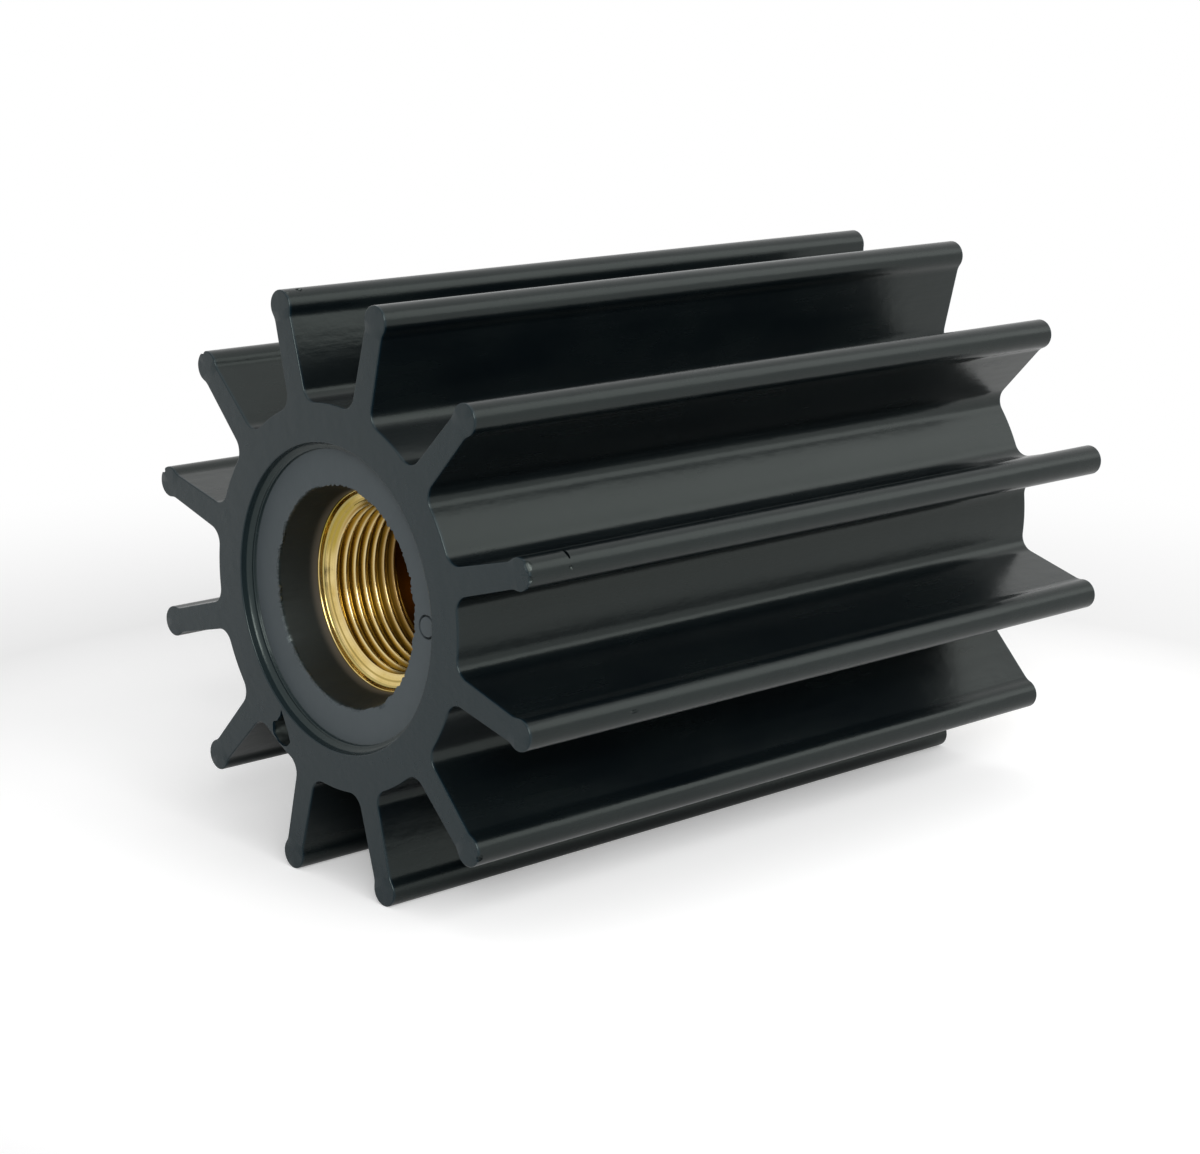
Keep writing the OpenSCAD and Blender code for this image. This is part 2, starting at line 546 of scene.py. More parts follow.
# %% [markdown]
# The vanes and the inside of the hub meet on the two hub rings, so a merge of
# doubles makes one closed mesh of them. No moulded edge is quite sharp, and a
# sharp one would catch no light. So the rims of the end faces are rounded by
# a fifth of a millimetre, and the edges are picked by what they join: the end
# face on one side, and a wall along the axis on the other.

# %% Join the hub to the vanes and round the rims
RIM_ROUND = 0.2 * MM
NEARLY_UPRIGHT = 0.1
NEARLY_FLAT = 0.9


def is_rim(edge):
    """True on the outline of an end face, where it meets the side of a vane or the hub."""
    if len(edge.link_faces) != 2 or radius(edge.verts[0]) < ROOT_R - 0.1 * MM:
        return False
    wall, end_face = sorted(abs(face.normal.y) for face in edge.link_faces)
    return wall < NEARLY_UPRIGHT and end_face > NEARLY_FLAT


def join(bm, other):
    """Adds another bmesh to the first and frees it."""
    scratch = bpy.data.meshes.new("scratch")
    other.to_mesh(scratch)
    other.free()
    bm.from_mesh(scratch)
    bpy.data.meshes.remove(scratch)


rubber = side
join(rubber, hub)
clean(rubber)
rims = [edge for edge in rubber.edges if is_rim(edge)]
bmesh.ops.bevel(
    rubber, geom=rims, affect="EDGES", offset=RIM_ROUND, offset_type="OFFSET",
    segments=3, profile=0.5, material=-1, clamp_overlap=True,
)
print("rubber:", len(rubber.faces), "faces,", open_edges(rubber), "open edges")
vanes = add_piece("rubber_vanes", rubber)

# %% [markdown]
# ## The brass bush
#
# The bush carries the impeller on the shaft. It is turned from bar, so its
# outside, countersink, relief and bore are one spun section. The groove and
# the flutes on its outside are there for the rubber to hold on to.

# %% Sizes of the bore
RIM_W = 0.3 * MM
COUNTERSINK_DEPTH = 1.7 * MM
MOUTH_STEP = 0.85 * MM
MOUTH_DRAFT = 0.2 * MM
EDGE_ROUND = 0.15 * MM
THREAD_DEPTH = 15.0 * MM
THREAD_PITCH = 2.0 * MM
THREAD_MAJOR_R = 15.0 * MM
RELIEF_R = 15.3 * MM
RELIEF_L = 4.0 * MM
SHAFT_CHAMFER = 1.0 * MM
KEY_W = 6.0 * MM
KEY_DEPTH = 2.8 * MM
FLUTES = 8
FLUTE_R = 2.0 * MM
COLLAR_L = 8.0 * MM
DRILL_LEFT = 0.4 * MM
BUSH_STEPS = 192
THREAD_END = BUSH_FRONT + THREAD_DEPTH
RELIEF_END = THREAD_END + RELIEF_L
print("thread", round(2 * THREAD_MAJOR_R / MM), "mm wide, with a pitch of", round(THREAD_PITCH / MM), "mm")

# %% Turn the blank


def bush_blank():
    """The turned bush, with the thread's place left as a bore a little too small."""
    bm = bmesh.new()
    middle = (BUSH_FRONT + BUSH_BACK) / 2
    groove_r = BUSH_R - GROOVE_DEPTH
    drilled_r = THREAD_R - DRILL_LEFT
    mouth_r = MOUTH_R - RIM_W
    step_r = mouth_r - MOUTH_DRAFT
    cone = (COUNTERSINK_DEPTH - MOUTH_STEP) / (step_r - THREAD_R)
    verts = polyline(bm, [
        (mouth_r, BUSH_FRONT),
        (BUSH_R, BUSH_FRONT),
        (BUSH_R, middle - GROOVE_W / 2),
        (groove_r, middle - GROOVE_W / 2),
        (groove_r, middle + GROOVE_W / 2),
        (BUSH_R, middle + GROOVE_W / 2),
        (BUSH_R, BUSH_BACK),
        (SHAFT_R + SHAFT_CHAMFER, BUSH_BACK),
        (SHAFT_R, BUSH_BACK - SHAFT_CHAMFER),
        (SHAFT_R, RELIEF_END),
        (RELIEF_R, RELIEF_END),
        (RELIEF_R, THREAD_END),
        (drilled_r, THREAD_END),
        (drilled_r, BUSH_FRONT + MOUTH_STEP + cone * (step_r - drilled_r)),
        (step_r, BUSH_FRONT + MOUTH_STEP),
    ])
    bm.edges.new((verts[-1], verts[0]))
    mouth_edges = [verts[0], verts[-1]]
    shaft_bore_end = verts[9]
    round_corners(bm, mouth_edges + [shaft_bore_end], EDGE_ROUND)
    full_turn(bm, BUSH_STEPS)
    clean(bm)
    return bm


blank = bush_blank()
print("blank:", len(blank.faces), "faces,", open_edges(blank), "open edges")

# %% [markdown]
# The thread takes the screw that pulls the impeller off its shaft. Rings
# would look nearly right, but a thread climbs, and its end on the countersink
# shows it. So its section is spun with a small step along the axis at every
# turn, which makes a helix. Copies of one turn make the length, a plane cuts
# each end flat, and the closed helix is later cut out of the bush, as a tap
# would cut it.

# %% Draw the helix
THREAD_LEAD = 4.6 * MM
CREST_HALF = THREAD_PITCH / 12
ROOT_HALF = THREAD_PITCH / 16
ROOT_ROUND = 0.12 * MM
CREST_ROUND = 0.16 * MM
FINE_WELD = 0.0005 * MM
PLANE_WIDTH = 1e-7
ON_PLANE = 1e-6


def close_end(bm, y, way):
    """Cuts off all that lies past a place along the axis, and fills the cut. way is +1 at the back."""
    bmesh.ops.bisect_plane(
        bm, geom=everything(bm), dist=PLANE_WIDTH,
        plane_co=(0, y, 0), plane_no=(0, way, 0), clear_outer=True,
    )
    rim = [e for e in bm.edges if e.is_boundary and all(abs(v.co.y - y) < ON_PLANE for v in e.verts)]
    bmesh.ops.edgeloop_fill(bm, edges=rim)


def thread_tool():
    """The air inside the thread: a helix closed by a flat at each end."""
    bm = bmesh.new()
    start = BUSH_FRONT - THREAD_LEAD
    verts = polyline(bm, [
        (THREAD_MAJOR_R, start),
        (THREAD_MAJOR_R, start + ROOT_HALF),
        (THREAD_R, start + THREAD_PITCH / 2 - CREST_HALF),
        (THREAD_R, start + THREAD_PITCH / 2 + CREST_HALF),
        (THREAD_MAJOR_R, start + THREAD_PITCH - ROOT_HALF),
        (THREAD_MAJOR_R, start + THREAD_PITCH),
    ])
    round_corners(bm, [verts[1], verts[4]], ROOT_ROUND, segments=2)
    round_corners(bm, verts[2:4], CREST_ROUND, segments=2)
    bmesh.ops.spin(
        bm, geom=bm.verts[:] + bm.edges[:], cent=(0, 0, 0), axis=(0, 1, 0),
        angle=2 * math.pi, steps=BUSH_STEPS, dvec=(0, THREAD_PITCH / BUSH_STEPS, 0),
    )
    one_turn = everything(bm)
    for turn in range(1, math.ceil((THREAD_END - start) / THREAD_PITCH) + 1):
        made = bmesh.ops.duplicate(bm, geom=one_turn)["geom"]
        bmesh.ops.translate(bm, vec=(0, turn * THREAD_PITCH, 0), verts=only_verts(made))
    bmesh.ops.remove_doubles(bm, verts=bm.verts, dist=WELD)
    close_end(bm, BUSH_FRONT - THREAD_PITCH / 2, -1)
    close_end(bm, THREAD_END + RELIEF_L / 2, 1)
    clean(bm, FINE_WELD)
    return bm


tap = thread_tool()
print("thread tool:", len(tap.faces), "faces,", open_edges(tap), "open edges")

# %% [markdown]
# The keyway locks the bush to the shaft. It and the flutes are cut with a box
# and with round bars, as a broach and a milling cutter would. A Boolean
# modifier does each cut, and its result is written back to the mesh.
#
# Where a wide flat face meets a narrow rounded rim, plain smooth shading
# bends the flat face too. The Weighted Normal modifier lets the larger face
# win at each corner, so the end faces look flat and only the rims look round.

# %% Keyway, flutes and the cuts
BAR_STEPS = 48
OVERRUN = 1.0 * MM


def key_box():
    """The broach: a box from the bore's middle to the floor of the keyway."""
    bm = bmesh.new()
    low = Vector((0.0, RELIEF_END - RELIEF_L / 2, -KEY_W / 2))
    high = Vector((SHAFT_R + KEY_DEPTH, BUSH_BACK + OVERRUN, KEY_W / 2))
    middle = (low + high) / 2
    size = high - low
    place = Matrix.Translation(middle) @ Matrix.Diagonal((*size, 1.0))
    bmesh.ops.create_cube(bm, size=1.0, matrix=place)
    return bm


def flute_bars():
    """Eight round bars, half sunk in the outside of the bush."""
    bm = bmesh.new()
    length = BUSH_BACK - BUSH_FRONT - 2 * COLLAR_L
    upright = Matrix.Rotation(math.pi / 2, 4, "X")
    for i in range(FLUTES):
        turn = Matrix.Rotation(2 * math.pi * i / FLUTES, 4, "Y")
        place = Matrix.Translation((BUSH_R, (BUSH_FRONT + BUSH_BACK) / 2, 0)) @ upright
        bmesh.ops.create_cone(
            bm, cap_ends=True, segments=BAR_STEPS, radius1=FLUTE_R, radius2=FLUTE_R,
            depth=length, matrix=turn @ place,
        )
    return bm


def cut(piece, tool_bm, operation="DIFFERENCE"):
    """Takes a tool out of a piece, or adds it, and writes the result to the piece's mesh."""
    tool = add_piece("tool", tool_bm)
    modifier = piece.modifiers.new("cut", "BOOLEAN")
    modifier.operation = operation
    modifier.solver = "EXACT"
    modifier.object = tool
    graph = bpy.context.evaluated_depsgraph_get()
    made = bpy.data.meshes.new_from_object(piece.evaluated_get(graph))
    piece.modifiers.clear()
    old = piece.data
    piece.data = made
    made.name = piece.name
    bpy.data.meshes.remove(old)
    bpy.data.meshes.remove(tool.data)


def refine(piece):
    """Merges what a cut left doubled, and marks the sharp edges again."""
    bm = bmesh.new()
    bm.from_mesh(piece.data)
    bmesh.ops.remove_doubles(bm, verts=bm.verts, dist=2 * WELD)
    bmesh.ops.dissolve_degenerate(bm, edges=bm.edges, dist=2 * WELD)
    bmesh.ops.holes_fill(bm, edges=[edge for edge in bm.edges if edge.is_boundary], sides=4)
    shade(bm)
    print(piece.name, "has", len(bm.faces), "faces and", open_edges(bm), "open edges")
    bm.to_mesh(piece.data)
    bm.free()
    flat = piece.modifiers.new("flat faces", "WEIGHTED_NORMAL")
    flat.keep_sharp = True


bush = add_piece("turned_bush", blank)
cut(bush, tap)
cut(bush, key_box())
cut(bush, flute_bars())
refine(bush)

# %% [markdown]
# ## Ribs and marks of the rubber
#
# The rubber fills the flutes of the bush with ribs, which keep it from
# slipping round. On the recess floor an ejector pin of the mould has left a
# fine groove. Rubber is torn out where a gap meets the front face, and some
# vane tips are nicked. A bump texture can't change an outline, so these marks
# are cut. Rough balls of air cut the nicks, as a pebble would. Each nick has
# a clock angle in degrees, and then five sizes in millimetres: its radius,
# its depth behind the front face, and its size across, along and outwards.

# %% Sizes of the marks
TEAR_TURN = math.radians(210.2)
TEAR_R = 29.1 * MM
TEAR_SIZE = Vector((2.6, 3.0, 2.3)) * MM
TEAR_ROUGH = 0.15
TEAR_POINT = 0.75
TEAR_REACH = 0.35
PIN_AT = Vector((21.3, 0.0, -0.8)) * MM
PIN_R = 2.0 * MM
PIN_GROOVE = 0.50 * MM
PIN_STEPS = 48
BALL_FINENESS = 2.1
NICK_ROUGH = 0.3
NICKS = (
    (347.1, 49.7, 3.2, 0.9, 0.7, 0.5),
    (347.9, 49.5, 0.4, 0.8, 0.7, 0.7),
    (316.2, 49.8, 0.5, 1.1, 0.7, 0.6),
    (316.6, 49.9, 2.7, 0.9, 0.6, 0.5),
    (286.6, 49.6, 0.5, 0.9, 0.8, 0.7),
    (72.9, 49.3, 8.3, 1.2, 0.3, 1.1),
    (75.5, 50.0, 8.1, 0.4, 0.4, 0.35),
    (73.6, 49.7, 0.2, 1.3, 0.9, 0.6),
    (76.5, 49.9, 0.1, 0.9, 0.7, 0.5),
    (104.0, 49.9, 21.0, 0.3, 0.9, 0.25),
    (133.5, 49.7, 0.4, 0.6, 0.7, 0.6),
)
print("marks: a pin's groove, a tear and", len(NICKS), "nicks")

# %% Shapes of the marks


def pin_groove():
    """The round mark of the pin: a ring of air, sunk into the recess floor."""
    bm = bmesh.new()
    floor = FRONT + FLOOR_DEPTH
    verts = polyline(bm, [
        (PIN_R - PIN_GROOVE, floor - PIN_GROOVE),
        (PIN_R, floor - PIN_GROOVE),
        (PIN_R - 0.1 * PIN_GROOVE, floor + PIN_GROOVE),
        (PIN_R - 0.6 * PIN_GROOVE, floor + PIN_GROOVE),
    ])
    bm.edges.new((verts[-1], verts[0]))
    full_turn(bm, PIN_STEPS)
    clean(bm)
    bmesh.ops.translate(bm, vec=PIN_AT, verts=bm.verts)
    return bm


def rough_ball(bm, detail, rough):
    """Adds a ball of radius 1 with a seeded uneven surface, and returns its vertices."""
    verts = bmesh.ops.create_icosphere(bm, subdivisions=detail, radius=1.0)["verts"]
    for vert in verts:
        vert.co *= 1 + rough * noise.noise(vert.co * BALL_FINENESS + Vector((len(bm.verts), 0, 0)))
    return verts


def place_round(bm, verts, turn, r, y, size):
    """Scales vertices across, along and out from the axis, and moves them to a clock angle."""
    bmesh.ops.scale(bm, vec=size, verts=verts)
    bmesh.ops.translate(bm, vec=(0, y, r), verts=verts)
    bmesh.ops.rotate(bm, cent=(0, 0, 0), matrix=Matrix.Rotation(turn, 3, "Y"), verts=verts)


def torn_hollow():
    """The hollow in the front face, with a point that reaches towards the recess."""
    bm = bmesh.new()
    verts = rough_ball(bm, 4, TEAR_ROUGH)
    for vert in verts:
        inward = max(-vert.co.z, 0.0)
        vert.co.x = vert.co.x * (1 - TEAR_POINT * inward) + TEAR_POINT * inward ** 2
        vert.co.z -= TEAR_REACH * inward ** 2
    place_round(bm, verts, TEAR_TURN, TEAR_R, FRONT, TEAR_SIZE)
    return bm


def nick(turn, r, depth, across, along, out):
    """A small ball of air at a clock angle, a radius and a depth behind the front."""
    bm = bmesh.new()
    verts = rough_ball(bm, 2, NICK_ROUGH)
    size = Vector((across, along, out)) * MM
    place_round(bm, verts, math.radians(turn), r * MM, FRONT + depth * MM, size)
    return bm


# %% Add the ribs and cut the marks
cut(vanes, flute_bars(), "UNION")
cut(vanes, pin_groove())
cut(vanes, torn_hollow())
for place_and_size in NICKS:
    cut(vanes, nick(*place_and_size))
refine(vanes)

# %% [markdown]
# ## Finishes
#
# A finish is a network of nodes, and most of it is arithmetic. A few helpers
# keep the wiring short: an input may be given a number or another node's
# output. A mask is a value from 0 to 1 that says where a part of the surface
# lies, and the finish lays one colour after another over those parts.

# %% Helpers for nodes


def feed(tree, socket, value):
    """Sets a node's input to a number or a colour, or links another output to it."""
    if isinstance(value, bpy.types.NodeSocket):
        tree.links.new(value, socket)
    else:
        socket.default_value = value


def calculate(tree, operation, *values):
    """One Math node, and its output."""
    node = tree.nodes.new("ShaderNodeMath")
    node.operation = operation
    for socket, value in zip(node.inputs, values):
        feed(tree, socket, value)
    return node.outputs[0]


def ramp(tree, value, start, end):
    """0 below start, 1 above end, and a smooth step between them. It falls if start is above end."""
    node = tree.nodes.new("ShaderNodeMapRange")
    node.interpolation_type = "SMOOTHSTEP"
    feed(tree, node.inputs["Value"], value)
    feed(tree, node.inputs["From Min"], start)
    feed(tree, node.inputs["From Max"], end)
    return node.outputs["Result"]


def blend(tree, share, first, second):
    """Mixes two colours."""
    node = tree.nodes.new("ShaderNodeMix")
    node.data_type = "RGBA"
    feed(tree, node.inputs["Factor"], share)
    feed(tree, node.inputs["A"], first)
    feed(tree, node.inputs["B"], second)
    return node.outputs["Result"]


def overlap(tree, first, second):
    """Where two masks meet."""
    return calculate(tree, "MULTIPLY", first, second)


def add_share(tree, base, mask, amount):
    """Adds an amount to a value where a mask says so."""
    return calculate(tree, "MULTIPLY_ADD", mask, amount, base)


def distance(tree, place, point):
    """How far a spot lies from a point, in metres."""
    node = tree.nodes.new("ShaderNodeVectorMath")
    node.operation = "DISTANCE"
    feed(tree, node.inputs[0], place)
    feed(tree, node.inputs[1], point)
    return node.outputs["Value"]


def paint(tree, colour, masks, parts):
    """Lays the colour of each part over what lies below it, where the part's mask is."""
    for part, part_colour in parts:
        colour = blend(tree, masks[part], colour, part_colour)
    return colour


def use_group(tree, group, **values):
    """Places a node group and feeds its inputs."""
    node = tree.nodes.new("ShaderNodeGroup")
    node.node_tree = group
    for name, value in values.items():
        feed(tree, node.inputs[name], value)
    return node.outputs


def new_group(name, inputs, outputs):
    """A node group with named sockets. Returns its tree and its two end nodes."""
    tree = bpy.data.node_groups.new(name, "ShaderNodeTree")
    for socket, kind in inputs:
        tree.interface.new_socket(socket, in_out="INPUT", socket_type=kind)
    for socket, kind in outputs:
        tree.interface.new_socket(socket, in_out="OUTPUT", socket_type=kind)
    return tree, tree.nodes.new("NodeGroupInput"), tree.nodes.new("NodeGroupOutput")


# %% [markdown]
# Both finishes need to know how far a spot lies from the axis and how deep
# behind an end face, because both pieces are round. Both also need soft
# clouds. Each of these effects is a node group, which is built once and then
# placed in each material with its own values.

# %% The two shared groups


def axis_group():
    """Where a spot lies on a turned thing: its radius, and its depth behind the nearer end face."""
    tree, start, end = new_group(
        "turned_place", [("Vector", "NodeSocketVector")],
        [("Radius", "NodeSocketFloat"), ("Depth", "NodeSocketFloat"), ("Rings", "NodeSocketVector")],
    )
    parts = tree.nodes.new("ShaderNodeSeparateXYZ")
    feed(tree, parts.inputs[0], start.outputs["Vector"])
    across = calculate(tree, "POWER", parts.outputs["X"], 2.0)
    upward = calculate(tree, "POWER", parts.outputs["Z"], 2.0)
    radius_out = calculate(tree, "SQRT", calculate(tree, "ADD", across, upward))
    from_front = calculate(tree, "SUBTRACT", parts.outputs["Y"], FRONT)
    from_back = calculate(tree, "SUBTRACT", BACK, parts.outputs["Y"])
    depth_out = calculate(tree, "MINIMUM", from_front, from_back)
    rings = tree.nodes.new("ShaderNodeCombineXYZ")
    feed(tree, rings.inputs["X"], radius_out)
    feed(tree, rings.inputs["Y"], depth_out)
    feed(tree, end.inputs["Radius"], radius_out)
    feed(tree, end.inputs["Depth"], depth_out)
    feed(tree, end.inputs["Rings"], rings.outputs[0])
    return tree


def cloud_group():
    """Soft clouds from 0 to 1, drawn out along the axis by Stretch."""
    tree, start, end = new_group(
        "clouds",
        [("Vector", "NodeSocketVector"), ("Scale", "NodeSocketFloat"), ("Stretch", "NodeSocketFloat"),
         ("Detail", "NodeSocketFloat"), ("Contrast", "NodeSocketFloat")],
        [("Value", "NodeSocketFloat")],
    )
    squeeze = tree.nodes.new("ShaderNodeCombineXYZ")
    feed(tree, squeeze.inputs["X"], 1.0)
    feed(tree, squeeze.inputs["Y"], calculate(tree, "DIVIDE", 1.0, start.outputs["Stretch"]))
    feed(tree, squeeze.inputs["Z"], 1.0)
    place = tree.nodes.new("ShaderNodeVectorMath")
    place.operation = "MULTIPLY"
    feed(tree, place.inputs[0], start.outputs["Vector"])
    feed(tree, place.inputs[1], squeeze.outputs[0])
    cloud = tree.nodes.new("ShaderNodeTexNoise")
    feed(tree, cloud.inputs["Vector"], place.outputs[0])
    feed(tree, cloud.inputs["Scale"], start.outputs["Scale"])
    feed(tree, cloud.inputs["Detail"], start.outputs["Detail"])
    half = calculate(tree, "DIVIDE", 0.5, start.outputs["Contrast"])
    low = calculate(tree, "SUBTRACT", 0.5, half)
    high = calculate(tree, "ADD", 0.5, half)
    feed(tree, end.inputs["Value"], ramp(tree, cloud.outputs["Fac"], low, high))
    return tree


turned_place = axis_group()
clouds = cloud_group()


def cloud(tree, place, scale, stretch, detail, contrast):
    """The shared clouds with a finish's own values."""
    made = use_group(
        tree, clouds, Vector=place, Scale=scale, Stretch=stretch, Detail=detail, Contrast=contrast,
    )
    return made["Value"]


print("node groups:", turned_place.name, "and", clouds.name)

# %% [markdown]
# The rubber is nearly black. Much of what looks grey on it is the studio in its satin skin, so its colour
# is very dark and its roughness does the work. It is a little duller in clouds, and drawn along the vanes
# by the flow in the mould. The end faces are painted paler and bluer than the vane sides, and the recess
# walls paler still, as painted light: lit copies of the same rubber. The recess floors are paler with
# dust, the well is a neutral dark grey a little warmer than the rest, and the lip next to the bush is a
# paler grey-brown. The torn spot is painted near black, as painted shade in its hollow.
#
# All these parts are rings round the axis, so a range of radius and a range
# of depth find each of them, and no picture has to be fitted to the piece.
# Only the torn spot is no ring, and it is found by its distance from a point.

# %% Helpers for a finish


def new_finish(name):
    """An empty material, its node tree and its Principled shader."""
    material = bpy.data.materials.new(name)
    material.use_nodes = True
    return material, material.node_tree, material.node_tree.nodes["Principled BSDF"]


def object_place(tree):
    """The object coordinates of a material."""
    return tree.nodes.new("ShaderNodeTexCoord").outputs["Object"]


def on_axis_circle(turn, r, y):
    """The point at a clock angle and a radius, at a place along the axis."""
    return Vector((r * math.sin(turn), y, r * math.cos(turn)))


def bump(tree, shader, height, depth):
    """Feeds a height from 0 to 1, worth a depth in metres, to a shader's normal."""
    node = tree.nodes.new("ShaderNodeBump")
    node.inputs["Distance"].default_value = depth
    feed(tree, node.inputs["Height"], height)
    feed(tree, shader.inputs["Normal"], node.outputs["Normal"])


# %% Black rubber
DARK_RUBBER = (0.0014, 0.0026, 0.0036, 1)
PALE_RUBBER = (0.0030, 0.0048, 0.0054, 1)
RUBBER_PARTS = (
    # Painted light: the end faces are a lit copy of the rubber, paler and bluer than the vane sides.
    ("end face", (0.0030, 0.0090, 0.0138, 1)),
    # Painted light: the recess walls and ledges are a paler, lit copy of the rubber.
    ("recess", (0.008, 0.014, 0.016, 1)),
    ("floor", (0.052, 0.062, 0.069, 1)),
    # The well is a neutral dark grey, a little warmer than the rest, and the lip is a paler grey-brown.
    ("well", (0.0038, 0.0044, 0.0044, 1)),
    ("lip", (0.060, 0.052, 0.043, 1)),
    # Painted shade: the torn hollow is painted near black.
    ("tear", (0.0006, 0.0016, 0.0020, 1)),
)
RUBBER_GLOSS = 0.35
RUBBER_TINT = (0.88, 1.0, 0.93, 1)
RUBBER_ROUGH = 0.20
RUBBER_BUMP = 0.045 * MM
# Where the painted shade of the torn hollow lies, and how far it reaches.
TEAR_SHADE_DEPTH = 1.3 * MM
TEAR_SHADE_CENTRE = on_axis_circle(TEAR_TURN, TEAR_R, FRONT + TEAR_SHADE_DEPTH)
TEAR_SHADE_INSIDE = 2.2 * MM
TEAR_SHADE_OUTSIDE = 2.9 * MM


def rubber_masks(tree, place, spot):
    """Where the parts of the rubber lie that have a look of their own."""
    ledge_end = RECESS_R - SLOPE_W - LEDGE_W
    # Painted light: the end face mask is where the paler, lit copy of the rubber goes.
    masks = {"end face": ramp(tree, spot["Depth"], 0.6 * MM, 0.2 * MM)}
    # Painted light: the recess walls and ledges get the paler, lit copy of the rubber.
    masks["recess"] = overlap(
        tree,
        ramp(tree, spot["Radius"], RECESS_R + 0.2 * MM, RECESS_R + 0.05 * MM),
        ramp(tree, spot["Depth"], 0.1 * MM, 0.3 * MM),
    )
    masks["floor"] = overlap(
        tree,
        ramp(tree, spot["Radius"], ledge_end - 0.08 * MM, ledge_end - 0.30 * MM),
        ramp(tree, spot["Depth"], FLOOR_DEPTH + 0.5 * MM, FLOOR_DEPTH + 0.2 * MM),
    )
    masks["well"] = overlap(
        tree,
        ramp(tree, spot["Radius"], WELL_R + 0.6 * MM, WELL_R + 0.1 * MM),
        ramp(tree, spot["Depth"], FLOOR_DEPTH + 0.2 * MM, FLOOR_DEPTH + 0.9 * MM),
    )
    near_bush = ramp(tree, spot["Depth"], LIP_DEPTH - 0.3 * MM, LIP_DEPTH + 1.2 * MM)
    masks["lip"] = overlap(tree, masks["well"], near_bush)
    # Painted shade: the torn hollow is painted dark here, and it is rougher too.
    masks["tear"] = overlap(
        tree,
        ramp(tree, distance(tree, place, TEAR_SHADE_CENTRE), TEAR_SHADE_OUTSIDE, TEAR_SHADE_INSIDE),
        ramp(tree, spot["Depth"], 0.1 * MM, 0.4 * MM),
    )
    return masks


def rubber_finish():
    """Satin black rubber, clouded, with dusty recess floors, a grey well, painted light on the end faces
    and recess walls, and painted shade in the torn spot.
    """
    material, tree, shader = new_finish("black_rubber")
    place = object_place(tree)
    spot = use_group(tree, turned_place, Vector=place)
    masks = rubber_masks(tree, place, spot)
    blotches = cloud(tree, place, scale=90.0, stretch=1.6, detail=4.0, contrast=1.6)
    streaks = cloud(tree, place, scale=420.0, stretch=14.0, detail=3.0, contrast=1.8)
    ripples = cloud(tree, place, scale=480.0, stretch=1.5, detail=2.0, contrast=1.2)
    grain = cloud(tree, place, scale=2600.0, stretch=1.0, detail=2.0, contrast=1.0)

    colour = blend(tree, blotches, DARK_RUBBER, PALE_RUBBER)
    feed(tree, shader.inputs["Base Color"], paint(tree, colour, masks, RUBBER_PARTS))
    shader.inputs["Specular IOR Level"].default_value = RUBBER_GLOSS
    shader.inputs["Specular Tint"].default_value = RUBBER_TINT

    dusty = calculate(tree, "MAXIMUM", masks["floor"], masks["well"])
    rough = RUBBER_ROUGH
    for mask, amount in ((blotches, 0.06), (streaks, 0.05), (dusty, 0.30), (masks["tear"], 0.35)):
        rough = add_share(tree, rough, mask, amount)
    feed(tree, shader.inputs["Roughness"], rough)

    outside_well = calculate(tree, "SUBTRACT", 1.0, masks["well"])
    lengthwise = overlap(tree, streaks, outside_well)
    height = calculate(tree, "MULTIPLY", grain, 0.15)
    height = add_share(tree, height, lengthwise, 0.35)
    height = add_share(tree, height, ripples, 0.50)
    bump(tree, shader, height, RUBBER_BUMP)
    return material


rubber_look = rubber_finish()
print(rubber_look.name, "has", len(rubber_look.node_tree.nodes), "nodes")

# %% [markdown]
# Turned brass is bright where the tool has cut last, and brown where it has tarnished: in clouds, in the
# thread's valleys and in a stain on the mouth. The valleys are also painted darker, as painted shade. The
# thread's far end and the relief behind it are painted dark brown as painted shade, and so is a thin band
# at the foot of the mouth's wall. The tool leaves fine rings, which a noise over radius and depth gives,
# because it doesn't change round the axis. Metal has no colour but that of its reflections, so the parts
# differ by tint and roughness alone.

# %% Turned brass
BRIGHT_BRASS = (0.80, 0.64, 0.31, 1)
TARNISHED_BRASS = (0.54, 0.37, 0.08, 1)
BRASS_PARTS = (
    ("stain", (0.42, 0.31, 0.060, 1)),
    ("tool mark", (0.42, 0.31, 0.09, 1)),
    # Painted shade: a thin darker olive band in the inside corner at the foot of the mouth's wall.
    ("wall foot shade", (0.45, 0.36, 0.13, 1)),
    ("behind the mouth", (0.72, 0.58, 0.30, 1)),
    # Partly tarnish and partly painted shade: the thread's valleys are dark brown.
    ("thread", (0.34, 0.19, 0.020, 1)),
    # Painted shade: the far end of the thread and the relief are dark brown.
    ("far end shade", (0.15, 0.075, 0.012, 1)),
)
BRASS_ROUGH = 0.12
BRASS_BUMP = 0.012 * MM
THREAD_TOP = BUSH_FRONT - FRONT + COUNTERSINK_DEPTH
STAIN_TURN = math.radians(308)
STAIN_R = 15.5 * MM
STAIN_DEPTH = 1.0 * MM
STAIN_CENTRE = on_axis_circle(STAIN_TURN, STAIN_R, BUSH_FRONT + STAIN_DEPTH)
STAIN_INSIDE = 4.0 * MM
STAIN_OUTSIDE = 9.0 * MM


